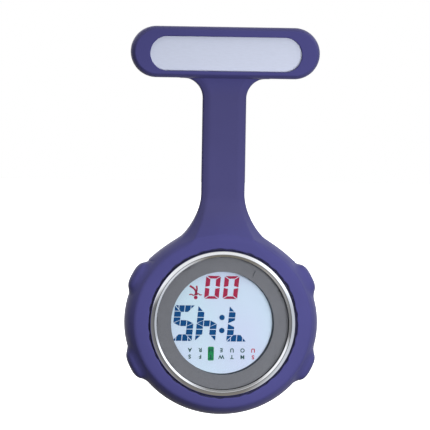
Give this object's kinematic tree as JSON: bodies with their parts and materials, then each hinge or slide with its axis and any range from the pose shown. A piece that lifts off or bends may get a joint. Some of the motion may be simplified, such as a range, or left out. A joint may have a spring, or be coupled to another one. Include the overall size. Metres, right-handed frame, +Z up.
{
  "type": "fob watch",
  "caption": "Silicone nurse's fob watch: badge bar with locking brooch pin, bending strap and round pod holding a digital watch head with side buttons.",
  "frame": {"origin": "middle of the brooch pin's axis, behind the badge bar", "axes": "+Z up as worn, dial faces -Y, +Y out of the badge's back, +X to the viewer's right"},
  "size_m": [0.044, 0.0122, 0.0883],
  "materials": {
    "silicone": "satin moulded silicone",
    "satin_plate": "satin polished plate",
    "nickel_steel": "nickel plated",
    "bezel_chrome": "polished",
    "crystal_glass": "clear mineral glass",
    "gasket_white": "nylon",
    "mask_grey": "printed grey",
    "spacer_dark": "matt dark",
    "case_plastic": "moulded",
    "cover_steel": "circular brushed",
    "screw_steel": "machined",
    "seal_rubber": "black rubber",
    "lcd_glass": "polarised glass",
    "reflector_film": "pearly film",
    "guide_plastic": "clear acrylic",
    "zebra_rubber": "striped conductive silicone",
    "frame_plastic": "white moulded plastic",
    "board_green": "solder mask",
    "led_white": "moulded lamp",
    "gold_contact": "gold flash",
    "epoxy_black": "epoxy",
    "can_metal": "tinned can",
    "cell_steel": "nickel steel",
    "spring_steel": "spring steel",
    "brass_disc": "plain",
    "pusher_steel": "turned"
  },
  "bodies": {
    "badge": {"badge_frame": "silicone", "badge_plate": "satin_plate", "brooch_base": "nickel_steel", "brooch_rivets": "nickel_steel", "hinge_knuckle": "nickel_steel", "hinge_rivet": "nickel_steel", "catch_body": "nickel_steel"},
    "pin": {"pin_stem": "nickel_steel"},
    "collar": {"catch_collar": "nickel_steel"},
    "strap_upper": {"strap_link_upper": "silicone"},
    "strap_lower": {"strap_link_lower": "silicone"},
    "pod": {"pod_shell": "silicone", "case_body": "case_plastic", "bezel_ring": "bezel_chrome", "crystal": "crystal_glass", "crystal_gasket": "gasket_white", "dial_mask": "mask_grey", "dial_spacer": "spacer_dark", "case_gasket": "seal_rubber", "case_back": "cover_steel", "case_screws": "screw_steel", "lcd_front_glass": "lcd_glass", "lcd_rear_glass": "lcd_glass", "lcd_reflector": "reflector_film", "light_guide": "guide_plastic", "zebra_strips": "zebra_rubber", "module_frame": "frame_plastic", "circuit_board": "board_green", "module_screws": "screw_steel", "backlight_led": "led_white", "side_contacts": "gold_contact", "chip_cover": "epoxy_black", "quartz_can": "can_metal", "battery": "cell_steel", "battery_clip": "spring_steel", "piezo_disc": "brass_disc", "buzzer_spring": "spring_steel", "pusher_spring_upper_right": "spring_steel", "pusher_spring_upper_left": "spring_steel", "pusher_spring_lower_left": "spring_steel", "pusher_spring_lower_right": "spring_steel"},
    "button_upper_right": {"bump_upper_right": "silicone", "pusher_upper_right": "pusher_steel", "pusher_seal_upper_right": "seal_rubber", "pusher_clip_upper_right": "spring_steel"},
    "button_upper_left": {"bump_upper_left": "silicone", "pusher_upper_left": "pusher_steel", "pusher_seal_upper_left": "seal_rubber", "pusher_clip_upper_left": "spring_steel"},
    "button_lower_left": {"bump_lower_left": "silicone", "pusher_lower_left": "pusher_steel", "pusher_seal_lower_left": "seal_rubber", "pusher_clip_lower_left": "spring_steel"},
    "button_lower_right": {"bump_lower_right": "silicone", "pusher_lower_right": "pusher_steel", "pusher_seal_lower_right": "seal_rubber", "pusher_clip_lower_right": "spring_steel"}
  },
  "joints": [
    {"name": "strap_bend_upper", "type": "hinge", "parent": "badge", "child": "strap_upper", "pos_m": [0, -0.0048, -0.014], "axis": [-1, 0, 0], "range_deg": [0, 40], "stiffness_Nm_per_rad": 0.0045},
    {"name": "strap_bend_middle", "type": "hinge", "parent": "strap_upper", "child": "strap_lower", "pos_m": [0, -0.0048, -0.022], "axis": [-1, 0, 0], "range_deg": [0, 40], "stiffness_Nm_per_rad": 0.0045},
    {"name": "strap_bend_lower", "type": "hinge", "parent": "strap_lower", "child": "pod", "pos_m": [0, -0.0048, -0.03], "axis": [-1, 0, 0], "range_deg": [0, 40], "stiffness_Nm_per_rad": 0.0045},
    {"name": "pin_hinge", "type": "hinge", "parent": "badge", "child": "pin", "pos_m": [0.013, 0, 0], "axis": [0, 0, -1], "range_deg": [0, 90]},
    {"name": "collar_turn", "type": "hinge", "parent": "badge", "child": "collar", "pos_m": [-0.0135, 0, 0], "axis": [1, 0, 0], "range_deg": [0, 110]},
    {"name": "press_upper_right", "type": "slide", "parent": "pod", "child": "button_upper_right", "axis": [-0.8829, 0, -0.4695], "range_m": [0, 0.0008], "stiffness_N_per_m": 1500, "deforming": ["pusher_spring_upper_right"]},
    {"name": "press_upper_left", "type": "slide", "parent": "pod", "child": "button_upper_left", "axis": [0.8829, 0, -0.4695], "range_m": [0, 0.0008], "stiffness_N_per_m": 1500, "deforming": ["pusher_spring_upper_left"]},
    {"name": "press_lower_left", "type": "slide", "parent": "pod", "child": "button_lower_left", "axis": [0.8949, 0, 0.4462], "range_m": [0, 0.0008], "stiffness_N_per_m": 1500, "deforming": ["pusher_spring_lower_left"]},
    {"name": "press_lower_right", "type": "slide", "parent": "pod", "child": "button_lower_right", "axis": [-0.8949, 0, 0.4462], "range_m": [0, 0.0008], "stiffness_N_per_m": 1500, "deforming": ["pusher_spring_lower_right"]}
  ],
  "couplings": [
    {"joint": "strap_bend_middle", "follows": "strap_bend_upper", "ratio": 1},
    {"joint": "strap_bend_lower", "follows": "strap_bend_upper", "ratio": 1}
  ]
}
